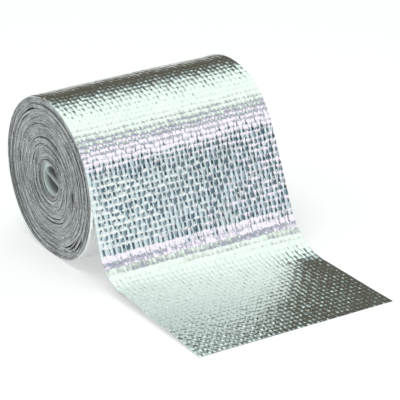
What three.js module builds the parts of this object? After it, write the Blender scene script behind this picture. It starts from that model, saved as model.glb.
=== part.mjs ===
// Aluminium heat shield tape: a roll of foil-faced woven cloth tape that lies on its side,
// with its outer end pulled off the front of the roll and laid on the floor.
// Frame: millimetres, X along the roll's axis, Y to the back, Z up.
// The origin is on the floor, below the middle of the roll and its free end.

import * as THREE from 'three';

// Driving sizes of the tape
const tapeWidth = 50;         // cut width, along the roll's axis
const tapeThickness = 0.25;   // foil and its cloth backing together

// Driving sizes of the winding
const rollRadius = 20;        // foil face of the last turn
const footSag = 1.5;          // how far the roll has settled, onto a flat foot
const boreRadius = 3.3;       // open middle that the winding mandrel left
const tongueTilt = 18;        // degrees, slope of the inner end across the bore, back side up

// Driving sizes of the free end, along its foil face. The tape is cut square, so both edges are
// as long, but each leaves the roll and bends in its own way, and the strip twists between them.
const markAngle = 30;         // degrees above the axis, on the roll, where freeLength starts
const freeLength = 64.6;      // from the mark to the tip
const leftLeaveAngle = 14.5;  // degrees above the axis, where the left edge leaves the roll
const leftBendRadius = 9.5;   // hollow bend that turns the left edge along the floor
const leftSlope = 4;          // degrees, fall of the left edge from the bend to the tip
const rightLeaveAngle = 23.3;
const rightBendRadius = 14;
const rightSlope = 0.5;

// Fineness of the round and twisted stretches
const degreesPerFacet = 5;
const wrapFacets = 3;
const straightFacets = 5;
const bendFacets = 15;
const flatFacets = 8;

const radians = THREE.MathUtils.degToRad;
const mark = radians(markAngle);
const fullTurn = 2 * Math.PI;
const axisHeight = rollRadius - footSag;

// Evenly spaced values from first to last
function spaced(first, last, count) {
  return Array.from({ length: count + 1 }, (unused, i) => first + (last - first) * i / count);
}

// One edge of the free end, as the lengths of its stretches. Its heading is measured from straight
// down: leave above the bend and lay below it. The straight stretch lets the tip touch the floor.
function freeEdge(leaveAngle, bendRadius, slope) {
  const leave = radians(leaveAngle);
  const lay = radians(90 - slope);
  const wrap = rollRadius * (mark - leave);
  const bend = bendRadius * (lay - leave);
  const rest = freeLength - wrap - bend;
  const leaveHeight = axisHeight + rollRadius * Math.sin(leave);
  const bendDrop = bendRadius * (Math.sin(lay) - Math.sin(leave));
  const restDrop = leaveHeight - tapeThickness - bendDrop;
  const straight = (restDrop - rest * Math.cos(lay)) / (Math.cos(leave) - Math.cos(lay));
  const bendStart = new THREE.Vector2(
    -rollRadius * Math.cos(leave) - straight * Math.sin(leave),
    leaveHeight - straight * Math.cos(leave),
  );
  const bendCentre = new THREE.Vector2(
    bendStart.x - bendRadius * Math.cos(leave),
    bendStart.y + bendRadius * Math.sin(leave),
  );
  return { leave, lay, wrap, straight, bend, bendRadius, flat: rest - straight, bendCentre };
}

// A point of an edge at a length from the mark, set back from the foil face by depth
function freePoint(edge, length, depth) {
  const pastWrap = length - edge.wrap;
  if (pastWrap <= 0) {
    const angle = mark - length / rollRadius;
    const radius = rollRadius - depth;
    return new THREE.Vector2(-radius * Math.cos(angle), axisHeight + radius * Math.sin(angle));
  }
  const pastStraight = pastWrap - edge.straight;
  const bent = Math.min(Math.max(pastStraight / edge.bendRadius, 0), edge.lay - edge.leave);
  const heading = edge.leave + bent;
  const beyond = pastStraight - bent * edge.bendRadius;
  const radius = edge.bendRadius + depth;
  return new THREE.Vector2(
    edge.bendCentre.x + radius * Math.cos(heading) - beyond * Math.sin(heading),
    edge.bendCentre.y - radius * Math.sin(heading) - beyond * Math.cos(heading),
  );
}

// Lengths at which an edge has points, from where it leaves the roll to the tip
function freeStations(edge) {
  const bendStart = edge.wrap + edge.straight;
  const bendEnd = bendStart + edge.bend;
  return [
    ...spaced(edge.wrap, bendStart, straightFacets),
    ...spaced(bendStart, bendEnd, bendFacets).slice(1),
    ...spaced(bendEnd, freeLength, flatFacets).slice(1),
  ];
}

// The last turn at one edge. It starts at the mark, runs over the top, the back and the flat foot
// and up to where the free end leaves it, and closes in by one thickness as it goes.
function lastTurn(edge) {
  const end = fullTurn - (mark - edge.leave);
  const shared = fullTurn * 3 / 4;
  const facets = (angle) => Math.round(angle / radians(degreesPerFacet));
  const turns = [
    ...spaced(0, shared, facets(shared)),
    ...spaced(shared, end, facets(fullTurn - shared)).slice(1),
  ];
  return turns.map((turned) => {
    const radius = rollRadius - tapeThickness * turned / end;
    const angle = Math.PI - mark - turned;
    const height = axisHeight + radius * Math.sin(angle);
    return new THREE.Vector2(radius * Math.cos(angle), Math.max(height, 0));
  });
}

// The outline of the whole tape at one edge, from the tip up the foil face, round the roll and
// down the back of the free end
function tapeOutline(edge) {
  const stations = freeStations(edge);
  const wrapped = spaced(0, edge.wrap, wrapFacets).slice(1, -1);
  const foilFace = [...wrapped, ...stations].map((length) => freePoint(edge, length, 0));
  const backFace = stations.slice(1).map((length) => freePoint(edge, length, tapeThickness));
  return [...foilFace.reverse(), ...lastTurn(edge), ...backFace].reverse();
}

// One half of the bore, on the upper (side 1) or lower (side -1) face of the inner end
function halfBore(side) {
  const clear = Math.asin(tapeThickness / 2 / boreRadius);
  const start = radians(tongueTilt) + (side > 0 ? clear : Math.PI + clear);
  const angles = spaced(start, start + Math.PI - 2 * clear, Math.round(180 / degreesPerFacet));
  return angles.reverse().map((angle) => new THREE.Vector2(
    boreRadius * Math.cos(angle),
    axisHeight + boreRadius * Math.sin(angle),
  ));
}

// Closed solid between two sections with as many points, one at each edge of the tape. A section
// is a list of loops: the outline, which runs from +Y to +Z, then the holes, which run back.
function solidBetween(left, right) {
  const place = (section, x) => section.flat().flatMap((point) => [x, point.x, point.y]);
  const positions = [...place(left, -tapeWidth / 2), ...place(right, tapeWidth / 2)];
  const count = left.flat().length;
  const cap = (section) => THREE.ShapeUtils.triangulateShape(section[0], section.slice(1));
  const triangles = [
    ...cap(left).map(([a, b, c]) => [c, b, a]),
    ...cap(right).map((corners) => corners.map((corner) => corner + count)),
  ];
  let first = 0;
  for (const loop of left) {
    for (let i = 0; i < loop.length; i += 1) {
      const here = first + i;
      const next = first + (i + 1) % loop.length;
      triangles.push([here, next + count, here + count], [here, next, next + count]);
    }
    first += loop.length;
  }
  const geometry = new THREE.BufferGeometry();
  geometry.setAttribute('position', new THREE.Float32BufferAttribute(positions, 3));
  geometry.setIndex(triangles.flat());
  const faceted = geometry.toNonIndexed();
  faceted.computeVertexNormals();
  return faceted;
}

// The whole tape: one strip, wound into a solid roll, with its bore and its free end
function tapeGeometry() {
  const bore = [halfBore(1), halfBore(-1)];
  const left = freeEdge(leftLeaveAngle, leftBendRadius, leftSlope);
  const right = freeEdge(rightLeaveAngle, rightBendRadius, rightSlope);
  const geometry = solidBetween([tapeOutline(left), ...bore], [tapeOutline(right), ...bore]);
  geometry.computeBoundingBox();
  const middle = geometry.boundingBox.getCenter(new THREE.Vector3());
  geometry.translate(-middle.x, -middle.y, -geometry.boundingBox.min.z);
  return geometry;
}

// Bright aluminium foil, embossed with the weave of the cloth below it
const foilFacedCloth = new THREE.MeshStandardMaterial({
  color: 0xc9cfcf,
  roughness: 0.3,
  metalness: 0.9,
});

const tape = new THREE.Mesh(tapeGeometry(), foilFacedCloth);
tape.name = 'heat_shield_tape';

const group = new THREE.Group();
group.add(tape);

export default group;
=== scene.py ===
import math

import bpy
import numpy as np
from mathutils import Matrix, Vector


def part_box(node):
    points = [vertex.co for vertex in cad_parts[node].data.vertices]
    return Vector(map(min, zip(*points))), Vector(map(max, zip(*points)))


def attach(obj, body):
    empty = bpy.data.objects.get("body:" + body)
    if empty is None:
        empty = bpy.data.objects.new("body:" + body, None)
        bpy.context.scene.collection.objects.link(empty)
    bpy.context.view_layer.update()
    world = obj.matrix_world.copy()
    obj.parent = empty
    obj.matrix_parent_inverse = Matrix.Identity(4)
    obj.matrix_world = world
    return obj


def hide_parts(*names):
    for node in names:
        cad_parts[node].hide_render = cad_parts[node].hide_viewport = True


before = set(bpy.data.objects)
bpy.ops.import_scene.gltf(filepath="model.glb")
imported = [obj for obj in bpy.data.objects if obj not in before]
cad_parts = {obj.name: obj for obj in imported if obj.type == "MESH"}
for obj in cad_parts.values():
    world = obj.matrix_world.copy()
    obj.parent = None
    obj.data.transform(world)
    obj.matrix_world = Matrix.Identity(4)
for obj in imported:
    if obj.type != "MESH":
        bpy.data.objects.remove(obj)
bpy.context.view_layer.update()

MM = 0.001

# Camera
# A long lens from the front left, a little above, so that the wound end, the front of the roll
# and the whole free end are in view.

back_to_axis = 19.89
axis_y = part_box("heat_shield_tape")[1].y / MM - back_to_axis
axis_z = 18.5
camera_aim = (16.17, axis_y, 3.78)
camera_azimuth = -32.06
camera_elevation = 22.87
camera_lean = -1.10
camera_distance = 519.3
camera_lens = 192.9


def look_at(aim, azimuth, elevation, lean, distance):
    """Camera matrix for a view of aim: azimuth 0 looks along +Y, degrees and millimetres."""
    turn, rise, lean = (math.radians(angle) for angle in (azimuth, elevation, lean))
    level = math.cos(rise)
    back = Vector((math.sin(turn) * level, -math.cos(turn) * level, math.sin(rise)))
    side = (-back).cross(Vector((0, 0, 1))).normalized()
    up = side.cross(-back)
    side_leant = side * math.cos(lean) + up * math.sin(lean)
    up_leant = up * math.cos(lean) - side * math.sin(lean)
    matrix = Matrix((side_leant, up_leant, back)).transposed().to_4x4()
    matrix.translation = (Vector(aim) + back * distance) * MM
    return matrix


camera_data = bpy.data.cameras.new("camera")
camera_data.sensor_width = 36
camera_data.lens = camera_lens
camera_data.clip_start = 0.01
camera_data.clip_end = 20
camera = bpy.data.objects.new("camera", camera_data)
camera.matrix_world = look_at(camera_aim, camera_azimuth, camera_elevation, camera_lean, camera_distance)
bpy.context.collection.objects.link(camera)
bpy.context.scene.camera = camera
bpy.context.scene.view_settings.view_transform = "Standard"

# Studio
# A plain pale floor in a soft light room. What shines in the foil is a broad box light overhead,
# a second one at the front, a dim wall behind and a dark gap at the front, all along the roll.
# Smaller patches light or darken the room towards the tape's two ends.


def node_maker(tree):
    """A short call that adds a node of a kind to tree, sets its inputs and returns it."""
    def add(kind, settings=None, **inputs):
        node = tree.nodes.new("ShaderNode" + kind)
        for key, value in (settings or {}).items():
            setattr(node, key, value)
        for key, value in inputs.items():
            name = key.replace("_", " ")
            socket = node.inputs[int(key[1:])] if key[0] == "i" and key[1:].isdigit() else node.inputs[name]
            if isinstance(value, bpy.types.NodeSocket):
                tree.links.new(value, socket)
            else:
                socket.default_value = value
        return node
    return add


def ramp(node, stops):
    """Sets a colour ramp's stops, each a place and a colour."""
    elements = node.color_ramp.elements
    while len(elements) > 1:
        elements.remove(elements[-1])
    elements[0].position = stops[0][0]
    elements[0].color = (*stops[0][1], 1)
    for place, colour in stops[1:]:
        elements.new(place).color = (*colour, 1)


wall_behind = (0.115, 0.110, 0.085)
wall_shadow = (0.07, 0.085, 0.078)
box_edge = (0.55, 0.72, 0.70)
box_overhead = (1.0, 1.12, 1.04)
box_rim = (0.62, 0.68, 0.58)
beam = (0.33, 0.35, 0.46)
box_front = (1.12, 1.04, 1.14)
gap_front = (0.10, 0.165, 0.21)
patch_front_left = (0.78, 0.92, 0.95, 1)
patch_back_left = (0.85, 0.90, 0.86, 1)
patch_right = (0.03, 0.045, 0.05, 1)
wall_left = (0.62, 0.66, 0.70, 1)
backdrop = (0.95, 0.95, 0.95, 1)

# Angles round the roll's axis, from the floor at the back over the top to the floor in front
room_bands = [
    (0, wall_behind), (36, wall_behind), (46, wall_shadow), (51, box_edge), (62, box_overhead),
    (104, box_overhead), (117, box_rim), (123, beam), (130, beam), (135, box_front),
    (152, box_front), (158, gap_front), (180, gap_front),
]

world = bpy.data.worlds.new("studio")
world.use_nodes = True
world.node_tree.nodes.clear()
add = node_maker(world.node_tree)
direction = add("TexCoord").outputs["Generated"]
parts = add("SeparateXYZ", Vector=direction).outputs
round_axis = add("Math", {"operation": "ARCTAN2"}, i0=parts["Z"], i1=parts["Y"]).outputs[0]
share = add("MapRange", None, Value=round_axis, From_Max=math.pi).outputs[0]
bands = add("ValToRGB", None, Fac=share)
ramp(bands, [(angle / 180, colour) for angle, colour in room_bands])


def blend(add, factor, below, above):
    """Colour that goes from below to above as factor goes from 0 to 1."""
    return add("Mix", {"data_type": "RGBA"}, Factor=factor, i6=below, i7=above).outputs[2]


def smooth(add, value, start, end):
    """0 before start, 1 after end, eased between."""
    return add("MapRange", {"interpolation_type": "SMOOTHSTEP"}, Value=value,
               From_Min=start, From_Max=end).outputs[0]


def both(add, first, second):
    """Where two masks meet."""
    return add("Math", {"operation": "MULTIPLY"}, i0=first, i1=second).outputs[0]


low_in_front = smooth(add, round_axis, math.radians(153), math.radians(160))
front_left = both(add, low_in_front, smooth(add, parts["X"], 0.56, 0.12))
low_behind = smooth(add, round_axis, math.radians(50), math.radians(44))
back_left = both(add, low_behind, smooth(add, parts["X"], 0.08, -0.2))
far_right = both(add, smooth(add, parts["X"], 0.62, 0.86), smooth(add, parts["Z"], 0.42, 0.16))
far_left = smooth(add, parts["X"], -0.55, -0.85)
room = blend(add, front_left, bands.outputs["Color"], patch_front_left)
room = blend(add, back_left, room, patch_back_left)
room = blend(add, far_right, room, patch_right)
room = blend(add, far_left, room, wall_left)
seen = blend(add, add("LightPath").outputs["Is Camera Ray"], room, backdrop)
background = add("Background", None, Color=seen)
out = add("OutputWorld")
world.node_tree.links.new(background.outputs[0], out.inputs["Surface"])
bpy.context.scene.world = world

floor_half = 1.5
floor_grey = 0.6
floor_glow = 0.36
floor_mesh = bpy.data.meshes.new("floor")
corners = [(-floor_half, -floor_half, 0), (floor_half, -floor_half, 0),
           (floor_half, floor_half, 0), (-floor_half, floor_half, 0)]
floor_mesh.from_pydata(corners, [], [(0, 1, 2, 3)])
floor = bpy.data.objects.new("floor", floor_mesh)
bpy.context.collection.objects.link(floor)
paint = bpy.data.materials.new("floor_paint")
paint.use_nodes = True
paint_inputs = paint.node_tree.nodes["Principled BSDF"].inputs
paint_inputs["Base Color"].default_value = (floor_grey, floor_grey, floor_grey, 1)
paint_inputs["Emission Color"].default_value = (1, 1, 1, 1)
paint_inputs["Emission Strength"].default_value = floor_glow
paint_inputs["Roughness"].default_value = 0.9
floor_mesh.materials.append(paint)

fill_data = bpy.data.lights.new("fill", "AREA")
fill_data.size = 0.6
fill_data.energy = 3.0
fill = bpy.data.objects.new("fill", fill_data)
fill.location = (-0.15, -0.1, 0.8)
fill.rotation_euler = (math.radians(-8), math.radians(-10), 0)
fill.visible_glossy = False
bpy.context.collection.objects.link(fill)

# Last turn and free end
# The outer stretch of the tape: aluminium foil on woven glass cloth, cut to width, with the weave
# pressed up through the foil. It wraps the roll once and leaves it at the front.

width = 50.0
thickness = 0.25
roll_radius = 20.05
foot_sag = 1.55
foot_spread = 0.541
mark = math.radians(60)         # angle up from the front, where the free end's length starts
wrap_angle = math.radians(339)  # how much of the roll this stretch covers
free_length = 75.15             # from the mark to the tip
yarn_across = 1.25
yarn_along = 1.53
cells_per_yarn = 4


def roll_outline(angle, depth=0.0):
    """Foil face of the winding as (y, z), for angles from the front over the top and on.

    The radius shrinks by one thickness each turn from the mark, and sags where it rests:
    the sag is a bell round the lowest point that dies away towards the middle."""
    radius = roll_radius - thickness * (angle - mark) / (2 * np.pi) - depth
    below = (angle - 1.5 * np.pi + np.pi) % (2 * np.pi) - np.pi
    sag = foot_sag * np.exp(-((below / foot_spread) ** 2)) * (radius / roll_radius) ** 2.5
    radius = radius - sag
    return axis_y - radius * np.cos(angle), axis_z + radius * np.sin(angle)


def free_edge(along, leave, straight, bend, lay, curl):
    """One edge of the free end as (y, z), integrated from its heading.

    The heading is measured from straight down. It follows the roll from the mark, stays at leave
    for the straight run, grows round the bend to lay, and changes by curl over the last 15 mm."""
    leave, lay, curl = (math.radians(angle) for angle in (leave, lay, curl))
    ends_roll = roll_radius * (mark - leave)
    ends_straight = ends_roll + straight
    curl_length = 15.0
    heading = mark - np.clip(along, 0, ends_roll) / roll_radius
    heading = heading + np.clip((along - ends_straight) / bend, 0, lay - leave)
    heading = heading + curl * np.clip(1 - (free_length - along) / curl_length, 0, 1)
    step = np.diff(along, prepend=along[0])
    middle = (heading + np.concatenate([heading[:1], heading[:-1]])) / 2
    y = axis_y - roll_radius * math.cos(mark) - np.cumsum(np.sin(middle) * step)
    z = axis_z + roll_radius * math.sin(mark) - np.cumsum(np.cos(middle) * step)
    return y, z


def soft_noise(u, v, seed, waves=9):
    """Smooth noise of about unit size: a sum of plane waves with random headings and phases."""
    draw = np.random.default_rng(seed)
    total = np.zeros(np.broadcast(u, v).shape)
    for _ in range(waves):
        turn, size, phase = draw.uniform(0, np.pi), draw.uniform(0.5, 1.6), draw.uniform(0, 2 * np.pi)
        total += np.sin(2 * np.pi * size * (u * math.cos(turn) + v * math.sin(turn)) + phase)
    return total / math.sqrt(waves / 2)


def woven(a, b):
    """Height in mm of a plain weave under foil, at a place counted in yarns across and along.

    Each yarn is a ridge. It rises over one neighbour and dips under the next, and the foil lies
    on whichever yarn is higher, with a soft fillet where they cross."""
    over = np.cos(np.pi * (b - 0.5)) * np.where(np.floor(a) % 2 == 0, 1.0, -1.0)
    under = np.cos(np.pi * (a - 0.5)) * np.where(np.floor(b) % 2 == 0, 1.0, -1.0)
    swing = 0.05
    rise = 0.06
    fillet = 0.012
    warp = swing * over + rise * np.cos(np.pi * (a % 1 - 0.5))
    weft = -swing * under + rise * np.cos(np.pi * (b % 1 - 0.5))
    return (warp + weft + np.sqrt((warp - weft) ** 2 + fillet ** 2)) / 2 - swing


def strip_mesh(name, top, back, uv_top, uv_back):
    """Closed strip: a fine grid on the foil face, and one long face per row on the back.

    top is rows by columns by 3, back is rows by 2 by 3, both in mm."""
    rows, columns = top.shape[:2]
    top_index = np.arange(rows * columns).reshape(rows, columns)
    back_index = rows * columns + np.arange(rows * 2).reshape(rows, 2)
    vertices = np.concatenate([top.reshape(-1, 3), back.reshape(-1, 3)]) * MM
    uv = np.concatenate([uv_top.reshape(-1, 2), uv_back.reshape(-1, 2)])

    def quads(a, b, c, d):
        return np.stack([a.ravel(), b.ravel(), c.ravel(), d.ravel()], -1)

    t, k = top_index, back_index
    foil = quads(t[:-1, :-1], t[1:, :-1], t[1:, 1:], t[:-1, 1:])
    cloth = quads(k[:-1, 0], k[:-1, 1], k[1:, 1], k[1:, 0])
    left = quads(t[:-1, 0], k[:-1, 0], k[1:, 0], t[1:, 0])
    right = quads(t[:-1, -1], t[1:, -1], k[1:, 1], k[:-1, 1])
    first_end = np.concatenate([t[0], k[0, ::-1]])
    last_end = np.concatenate([t[-1, ::-1], k[-1]])
    quad_faces = np.concatenate([foil, cloth, left, right])
    loops = np.concatenate([quad_faces.ravel(), first_end, last_end])
    sizes = np.concatenate([np.full(len(quad_faces), 4), [len(first_end), len(last_end)]])
    starts = np.concatenate([[0], np.cumsum(sizes)[:-1]])
    kinds = np.concatenate([np.zeros(len(foil)), np.ones(len(cloth)),
                            np.full(len(left) + len(right) + 2, 2)]).astype(np.int32)
    mesh = bpy.data.meshes.new(name)
    mesh.vertices.add(len(vertices))
    mesh.vertices.foreach_set("co", vertices.ravel())
    mesh.loops.add(len(loops))
    mesh.loops.foreach_set("vertex_index", loops.astype(np.int32))
    mesh.polygons.add(len(sizes))
    mesh.polygons.foreach_set("loop_start", starts.astype(np.int32))
    mesh.polygons.foreach_set("material_index", kinds)
    mesh.update(calc_edges=True)
    layer = mesh.uv_layers.new(name="strip")
    layer.data.foreach_set("uv", uv[loops].ravel())
    mesh.polygons.foreach_set("use_smooth", np.ones(len(sizes), bool))
    mesh.set_sharp_from_angle(angle=math.radians(50))
    mesh.validate()
    return mesh


row_step = yarn_along / cells_per_yarn
wrap_length = roll_radius * wrap_angle
along = np.arange(-math.floor(wrap_length / row_step), math.floor(free_length / row_step) + 1) * row_step
across = np.arange(round(width / yarn_across) * cells_per_yarn + 1) * yarn_across / cells_per_yarn
on_roll = along < 0
wrap_angles = mark - along[on_roll] / roll_radius
wrap_y, wrap_z = roll_outline(wrap_angles)
free = np.concatenate([[0.0], along[~on_roll & (along > 0)]])
left_y, left_z = free_edge(free, leave=14.5, straight=14.4, bend=9.54, lay=86.9, curl=-4.0)
right_y, right_z = free_edge(free, leave=23.3, straight=19.3, bend=14.0, lay=88.9, curl=2.1)
edge_y = np.stack([np.concatenate([wrap_y, left_y]), np.concatenate([wrap_y, right_y])], 1)
edge_z = np.stack([np.concatenate([wrap_z, left_z]), np.concatenate([wrap_z, right_z])], 1)
slope_y, slope_z = np.gradient(edge_y, along, axis=0), np.gradient(edge_z, along, axis=0)
slope = np.hypot(slope_y, slope_z)
out_y, out_z = slope_z / slope, -slope_y / slope

share_across = (across / width)[None, :]
S, X = np.meshgrid(along, across, indexing="ij")


def between(edges):
    """Values at the left and right edges, carried straight across the strip."""
    return edges[:, :1] * (1 - share_across) + edges[:, 1:] * share_across


# The cut edges are rolled over: the left one back, the right one a little forward
margin = 1.1
left_roll = -0.22
right_roll = 0.06
from_edge = np.minimum(X, width - X)
rolled = np.clip(1 - from_edge / margin, 0, 1) ** 2 * np.where(X < width / 2, left_roll, right_roll)

# The foil swells softly, more in the bend and less at the tip
bend_middle = 38
bend_reach = 14
in_bend = np.clip(1 - np.abs(S - bend_middle) / bend_reach, 0, 1)
broad_swell = 0.05 * soft_noise(S / 23, X / 23, seed=3)
ripple = (0.010 + 0.02 * in_bend) * soft_noise(S / 6, X / 8, seed=4)
swell = (broad_swell + ripple) * np.clip((free_length - S) / 12, 0.4, 1)

# The weave wanders and varies. The mesh carries a share of its height, the bump the fine ridges
mesh_share = 0.3
lift = 0.03
strength = 1 + 0.18 * soft_noise(S / 9, X / 9, seed=5)
yarns_a = X / yarn_across + 0.04 * soft_noise(S / 8, X / 9, seed=21)
yarns_b = S / yarn_along + 0.06 * soft_noise(X / 8, S / 9, seed=22)
weave_height = mesh_share * woven(yarns_a, yarns_b) * np.clip(from_edge / margin, 0.15, 1) * strength
height = weave_height + rolled + swell + lift
foil_face = np.stack([X - width / 2, between(edge_y) + between(out_y) * height,
                      between(edge_z) + between(out_z) * height], -1)
lowest_foil = thickness * 0.3
foil_face[..., 2] = np.maximum(foil_face[..., 2], lowest_foil)
back_y = edge_y - out_y * thickness
back_z = np.maximum(edge_z - out_z * thickness, 0)
back_x = np.broadcast_to([-width / 2, width / 2], back_y.shape)
cloth_face = np.stack([back_x, back_y, back_z], -1)
uv_foil = np.stack([yarns_a, yarns_b], -1)
uv_cloth = np.stack([(back_x + width / 2) / yarn_across, np.stack([along, along], 1) / yarn_along], -1)

last_turn_mesh = strip_mesh("last_turn_and_free_end", foil_face, cloth_face, uv_foil, uv_cloth)
last_turn = bpy.data.objects.new("last_turn_and_free_end", last_turn_mesh)
bpy.context.collection.objects.link(last_turn)


def material(name):
    """A new material with its shader and a node maker for its tree."""
    made = bpy.data.materials.new(name)
    made.use_nodes = True
    return made, made.node_tree.nodes["Principled BSDF"], node_maker(made.node_tree)


def chain(add):
    """Short arithmetic calls that add maths nodes."""
    def calculate(operation, *values, **extra):
        inputs = {f"i{index}": value for index, value in enumerate(values)}
        return add("Math", {"operation": operation, **extra}, **inputs).outputs[0]
    return calculate


# Pressed weave, in mm: a narrow ridge for each yarn along the tape and a flat-topped one for each
# yarn across. They swap over and under from crossing to crossing, and each crossing leans its own way.
ridge_half_width = 0.25
ridge_height = 0.135
ridge_swing = 0.05
flat_height = 0.04
flat_swing = 0.075
crossing_fillet = 0.02
crossing_lean = 0.30

relief = bpy.data.node_groups.new("pressed_weave", "ShaderNodeTree")
relief.interface.new_socket("Yarns", in_out="INPUT", socket_type="NodeSocketVector")
relief.interface.new_socket("Height", in_out="OUTPUT", socket_type="NodeSocketFloat")
inside = relief.nodes.new("NodeGroupInput")
outside = relief.nodes.new("NodeGroupOutput")
add = node_maker(relief)
calc = chain(add)
yarns = add("SeparateXYZ", Vector=inside.outputs["Yarns"]).outputs
cell_a, cell_b = calc("FLOOR", yarns["X"]), calc("FLOOR", yarns["Y"])
u = calc("SUBTRACT", calc("SUBTRACT", yarns["X"], cell_a), 0.5)
v = calc("SUBTRACT", calc("SUBTRACT", yarns["Y"], cell_b), 0.5)
parity = calc("MULTIPLY_ADD", calc("FLOORED_MODULO", calc("ADD", cell_a, cell_b), 2.0), -2.0, 1.0)
over = calc("MULTIPLY", parity, calc("COSINE", calc("MULTIPLY", v, math.pi)))
under = calc("MULTIPLY", parity, calc("COSINE", calc("MULTIPLY", u, math.pi)))
ridge = calc("EXPONENT", calc("MULTIPLY", calc("POWER", calc("DIVIDE", u, ridge_half_width), 2.0), -1.0))
flat_top = calc("SUBTRACT", 1.0, calc("POWER", calc("ABSOLUTE", calc("MULTIPLY", v, 2.0)), 3.0))
warp = calc("MULTIPLY_ADD", over, ridge_swing, calc("MULTIPLY", ridge, ridge_height))
dip = calc("TANH", calc("MULTIPLY", under, 2.0))
weft = calc("MULTIPLY_ADD", dip, -flat_swing, calc("MULTIPLY", flat_top, flat_height))
higher = calc("SMOOTH_MAX", warp, weft, crossing_fillet)
cell = add("CombineXYZ", None, X=cell_a, Y=cell_b).outputs[0]
drawn = add("TexWhiteNoise", {"noise_dimensions": "2D"}, Vector=cell).outputs["Color"]
own = add("SeparateColor", Color=drawn).outputs
lean_a = calc("MULTIPLY", calc("SUBTRACT", own["Red"], 0.5), u)
lean_b = calc("MULTIPLY", calc("SUBTRACT", own["Green"], 0.5), calc("MULTIPLY", v, 0.5))
height_out = calc("ADD", higher, calc("MULTIPLY", calc("ADD", lean_a, lean_b), crossing_lean))
relief.links.new(height_out, outside.inputs["Height"])

# Bright foil over the weave, with a fine crinkle and smears that dull it
foil_colour = (0.90, 0.92, 0.92, 1)
foil, shader, add = material("foil")
place = add("UVMap", {"uv_map": "strip"}).outputs[0]
weave = add("Group", {"node_tree": relief}, Yarns=place).outputs["Height"]
crinkle = add("TexNoise", None, Vector=place, Scale=1.7, Detail=3.0, Roughness=0.6).outputs[0]
smears = add("TexNoise", None, Vector=place, Scale=0.12, Detail=4.0, Roughness=0.6).outputs[0]
pressed = add("Bump", None, Height=weave, Strength=0.8, Distance=0.001).outputs[0]
bump = add("Bump", None, Height=crinkle, Strength=0.6, Distance=0.0001, Normal=pressed)
rough = add("MapRange", None, Value=smears, From_Min=0.35, From_Max=0.7, To_Min=0.08, To_Max=0.2)
shader.inputs["Metallic"].default_value = 1
shader.inputs["Base Color"].default_value = foil_colour
foil.node_tree.links.new(rough.outputs[0], shader.inputs["Roughness"])
foil.node_tree.links.new(bump.outputs[0], shader.inputs["Normal"])

# Plain pale glass cloth, the back of the tape
cloth_dark = (0.50, 0.52, 0.49)
cloth_light = (0.66, 0.68, 0.64)
cloth, shader, add = material("cloth_back")
place = add("UVMap", {"uv_map": "strip"}).outputs[0]
mottle = add("TexNoise", None, Vector=place, Scale=0.5, Detail=4.0).outputs[0]
tone = add("ValToRGB", None, Fac=mottle)
ramp(tone, [(0.3, cloth_dark), (0.7, cloth_light)])
cloth.node_tree.links.new(tone.outputs["Color"], shader.inputs["Base Color"])
shader.inputs["Roughness"].default_value = 0.65

# Cut edges of the foil and its cloth: streaks along the turns, fibre ends and darker patches,
# with painted light: paler round the open middle on the side away from the free end
edge_dark = (0.03, 0.03, 0.028)
edge_middle = (0.29, 0.295, 0.30)
edge_light = (0.74, 0.76, 0.78)
painted_light_round_middle = (0.76, 0.83, 0.81, 1)
streak_share = 0.32
patch_share = 0.12
cut_edge, shader, add = material("cut_edge")
place = add("UVMap", {"uv_map": "strip"}).outputs[0]
stretched = add("VectorMath", {"operation": "MULTIPLY"}, i0=place, i1=(4.2, 0.2, 1.0)).outputs[0]
streaks = add("TexNoise", None, Vector=stretched, Scale=1.0, Detail=3.0, Roughness=0.65).outputs[0]
body = add("TexCoord").outputs["Object"]
fibres = add("TexNoise", None, Vector=body, Scale=4600.0, Detail=1.0, Roughness=0.7).outputs[0]
patches = add("TexNoise", None, Vector=body, Scale=260.0, Detail=2.0).outputs[0]
calc = chain(add)
grain = calc("ADD", calc("MULTIPLY", streaks, streak_share), calc("MULTIPLY", fibres, 1 - streak_share))
grain = calc("ADD", grain, calc("MULTIPLY_ADD", patches, patch_share, -patch_share / 2))
tone = add("ValToRGB", None, Fac=grain)
ramp(tone, [(0.38, edge_dark), (0.5, edge_middle), (0.60, edge_light)])
radius = add("SeparateXYZ", Vector=place).outputs["X"]
across_roll = add("SeparateXYZ", Vector=body).outputs["Y"]
toward_back = smooth(add, across_roll, (axis_y - 1) * MM, (axis_y + 3) * MM)
# Painted light: the turns round the open middle, on the side away from the free end, are painted pale as if
# lit there
painted_light_mask = both(add, smooth(add, radius, 4.9, 4.3), toward_back)
colour = blend(add, painted_light_mask, tone.outputs["Color"], painted_light_round_middle)
cut_edge.node_tree.links.new(colour, shader.inputs["Base Color"])
shader.inputs["Roughness"].default_value = 0.55

for skin in (foil, cloth, cut_edge):
    last_turn.data.materials.append(skin)
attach(last_turn, "root")
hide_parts("heat_shield_tape")

# Wound turns
# The rest of the same tape, wound tight on a slotted mandrel that has been drawn out: its cut
# edges show turn on turn at both ends, and its inner end still crosses the open middle.

bore_radius = 3.3
steps_per_turn = 90
wound_thickness = 0.215         # a little under the pitch of the turns, which leaves dark lines
tongue_tilt = math.radians(18)  # slope of the inner end across the open middle
tongue_bend = 0.9               # radius of the bend into it
tongue_reach = 0.86             # share of the open middle's width that it crosses
funnel_radius = 4.95            # inside this radius the turns sink in
funnel_depth = 1.0
end_inset = 0.06


def loosened(radius, angle, at_radius, at_angle, spread, gap, reach=2.2):
    """How far turns move out of a tight winding to open one slit, in mm.

    Turns outside the slit move out and those inside move in, by half the gap beside it, less
    with distance up to reach. Along the turn the slit opens and closes as a bell."""
    away = (angle - at_angle + np.pi) % (2 * np.pi) - np.pi
    bell = np.exp(-((away / spread) ** 2))
    beyond = radius - at_radius
    fade = np.clip(1 - np.abs(beyond) / reach, 0, 1)
    lip = 0.05
    return gap / 2 * np.tanh(beyond / lip) * fade * bell


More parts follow.
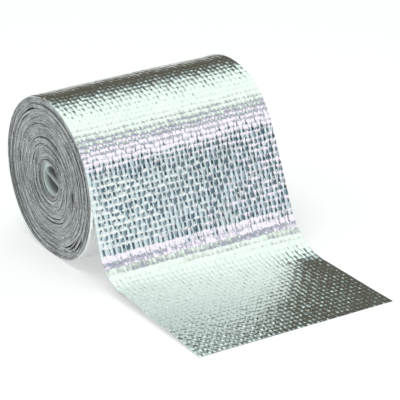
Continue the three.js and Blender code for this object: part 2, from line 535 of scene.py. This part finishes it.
first_angle = mark + wrap_angle
turn_step = 2 * np.pi / steps_per_turn
tongue_start = math.pi - tongue_tilt - math.asin(tongue_bend / (bore_radius - tongue_bend))
turns_left = (roll_radius - bore_radius - thickness) / thickness
last_angle = 2 * np.pi * math.floor(turns_left) + tongue_start
wound_angle = np.arange(first_angle, last_angle, turn_step)
plain_radius = roll_radius - thickness * (wound_angle - mark) / (2 * np.pi)

degree = math.radians(1)
all_round = 20
# Slits that show at the near end: radius in mm, angle from the front over the top, spread, gap
slits = [
    (5.05, 0, all_round, 0.16), (5.05, 120 * degree, 1.6, 0.10), (5.7, 200 * degree, 0.8, 0.12),
    (6.5, 215 * degree, 0.9, 0.14), (7.6, 60 * degree, 1.0, 0.12), (8.8, 80 * degree, 1.6, 0.20),
    (8.9, 200 * degree, 0.8, 0.14), (10.3, 78 * degree, 1.0, 0.42), (10.5, 272 * degree, 0.45, 0.50),
    (10.4, 180 * degree, 0.7, 0.18), (9.6, 285 * degree, 0.5, 0.26), (11.2, 358 * degree, 0.15, 0.50),
    (12.0, 250 * degree, 0.5, 0.14), (13.6, 120 * degree, 0.5, 0.14), (14.4, 30 * degree, 0.5, 0.12),
    (17.7, 318 * degree, 0.17, 0.60), (17.1, 311 * degree, 0.17, 0.62), (16.5, 304 * degree, 0.15, 0.46),
    (17.9, 340 * degree, 0.45, 0.30), (19.0, 335 * degree, 0.6, 0.20), (17.2, 118 * degree, 0.22, 0.40),
    (16.4, 130 * degree, 0.16, 0.30), (15.0, 100 * degree, 0.4, 0.14), (18.3, 80 * degree, 0.35, 0.20),
]
# The far end has slits of its own, over half a turn away, so that none goes right through
far_slits = [(at_radius + 0.9, at_angle + 3.6, spread, gap * 0.8)
             for at_radius, at_angle, spread, gap in slits if spread < all_round]
# Slits fade out at the outermost and the innermost turns
held = np.clip(roll_radius - thickness * 1.5 - plain_radius, 0, 1)
held = held * np.clip((plain_radius - bore_radius - thickness) / 0.6, 0, 1)


def wound_path(end_slits):
    """The turns at one end of the roll as (y, z), opened at the slits of that end."""
    shift = held * sum(loosened(plain_radius, wound_angle, *slit) for slit in end_slits)
    return roll_outline(wound_angle, depth=-shift)


wound_y, wound_z = wound_path(slits)
far_y, far_z = wound_path(far_slits)

arc_turn = np.pi / 2 + math.asin(tongue_bend / (bore_radius - tongue_bend))
arc = np.linspace(0, arc_turn, 14)[1:]
tangent = np.array([math.sin(wound_angle[-1]), math.cos(wound_angle[-1])])


def turned(vector, angle):
    """A (y, z) vector turned clockwise by each angle."""
    return np.stack([vector[0] * np.cos(angle) + vector[1] * np.sin(angle),
                     vector[1] * np.cos(angle) - vector[0] * np.sin(angle)], -1)


inward = turned(tangent, np.array([np.pi / 2]))[0]
start = np.array([wound_y[-1], wound_z[-1]])
bend_centre = start + inward * tongue_bend
bend_points = bend_centre - turned(inward, arc) * tongue_bend
chord = turned(tangent, np.array([arc_turn]))[0]
chord_length = 2 * bore_radius * tongue_reach
chord_points = bend_points[-1] + chord * np.linspace(0, chord_length, 12)[1:, None]
path_y = np.concatenate([wound_y, bend_points[:, 0], chord_points[:, 0]])
path_z = np.concatenate([wound_z, bend_points[:, 1], chord_points[:, 1]])
path_step = np.hypot(np.diff(path_y, prepend=path_y[0]), np.diff(path_z, prepend=path_z[0]))
path_length = np.cumsum(path_step)
far_y = np.concatenate([far_y, bend_points[:, 0], chord_points[:, 0]])
far_z = np.concatenate([far_z, bend_points[:, 1], chord_points[:, 1]])


def set_back(y, z):
    """The other face of a turn as (y, z), one thickness further in."""
    slope_y, slope_z = np.gradient(y), np.gradient(z)
    slope = np.hypot(slope_y, slope_z)
    return y + slope_z / slope * wound_thickness, z - slope_y / slope * wound_thickness


face_in_y, face_in_z = set_back(path_y, path_z)
far_in_y, far_in_z = set_back(far_y, far_z)

tongue_count = len(path_y) - len(wound_angle)
radius_all = np.concatenate([plain_radius, np.full(tongue_count, bore_radius)])
angle_all = np.concatenate([wound_angle, np.full(tongue_count, wound_angle[-1])])
turn_number = radius_all / thickness
funnel = funnel_depth * np.clip((funnel_radius - radius_all) / (funnel_radius - bore_radius), 0, 1) ** 0.8
turns_drawn = 120
draw = np.random.default_rng(11)
per_turn = draw.normal(0, 1, turns_drawn)
uneven = 0.05 * np.interp(turn_number, np.arange(turns_drawn), per_turn)
groups = 0.10 * soft_noise(radius_all / 2.4, angle_all * 0, seed=8)
wander = 0.05 * soft_noise(radius_all / 0.9, np.sin(angle_all) * 0.7, seed=9)
settle = np.clip((roll_radius - thickness - radius_all) / 0.8, 0, 1)
near_end = -width / 2 + end_inset + funnel + (np.abs(uneven) + np.abs(groups) + np.abs(wander)) * settle
far_end = width / 2 - end_inset - (np.abs(uneven) + np.abs(groups)) * settle - 0.3 * funnel

wound_top = np.stack([np.stack([near_end, path_y, path_z], -1), np.stack([far_end, far_y, far_z], -1)], 1)
wound_back = np.stack([np.stack([near_end, face_in_y, face_in_z], -1),
                       np.stack([far_end, far_in_y, far_in_z], -1)], 1)
uv_row = np.stack([radius_all, path_length], -1)
uv_wound = np.stack([uv_row, uv_row], 1)[::-1]
wound_mesh = strip_mesh("wound_turns", wound_top[::-1], wound_back[::-1], uv_wound, uv_wound)
wound = bpy.data.objects.new("wound_turns", wound_mesh)
bpy.context.collection.objects.link(wound)


def inner_face(name, painted_deep_shade):
    """Face of the tape inside the winding: painted light at the mouth of the open middle, painted shade
    beyond.

    Between turns, where a slit lets it show, it is painted nearly black as shade."""
    painted_slit_shade = (0.015, 0.015, 0.015, 1)
    painted_mouth_light = (0.66, 0.72, 0.69, 1)
    mouth = -width / 2 + funnel_depth
    skin, shader, add = material(name)
    depth = add("SeparateXYZ", Vector=add("TexCoord").outputs["Object"]).outputs["X"]
    radius = add("SeparateXYZ", Vector=add("UVMap", {"uv_map": "strip"}).outputs[0]).outputs["X"]
    painted_light_at_mouth = smooth(add, depth, (mouth + 1.3) * MM, (mouth + 0.2) * MM)
    innermost = smooth(add, radius, bore_radius + 0.8, bore_radius + 0.4)
    # Painted shade: faces between the turns are nearly black, and the innermost turns take the dark colour
    # given for the open middle
    colour = blend(add, innermost, painted_slit_shade, (*painted_deep_shade, 1))
    # Painted light: the innermost turns are pale near the mouth of the open middle, as if lit there
    colour = blend(add, both(add, painted_light_at_mouth, innermost), colour, painted_mouth_light)
    skin.node_tree.links.new(colour, shader.inputs["Base Color"])
    shader.inputs["Roughness"].default_value = 0.6
    return skin


# Painted shade: the foil and the cloth faces inside the winding get dark colours for the shade in the open
# middle
wound.data.materials.append(inner_face("foil_inside_painted_light_and_shade", (0.07, 0.073, 0.077)))
wound.data.materials.append(inner_face("cloth_inside_painted_light_and_shade", (0.27, 0.28, 0.29)))
wound.data.materials.append(cut_edge)
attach(wound, "root")
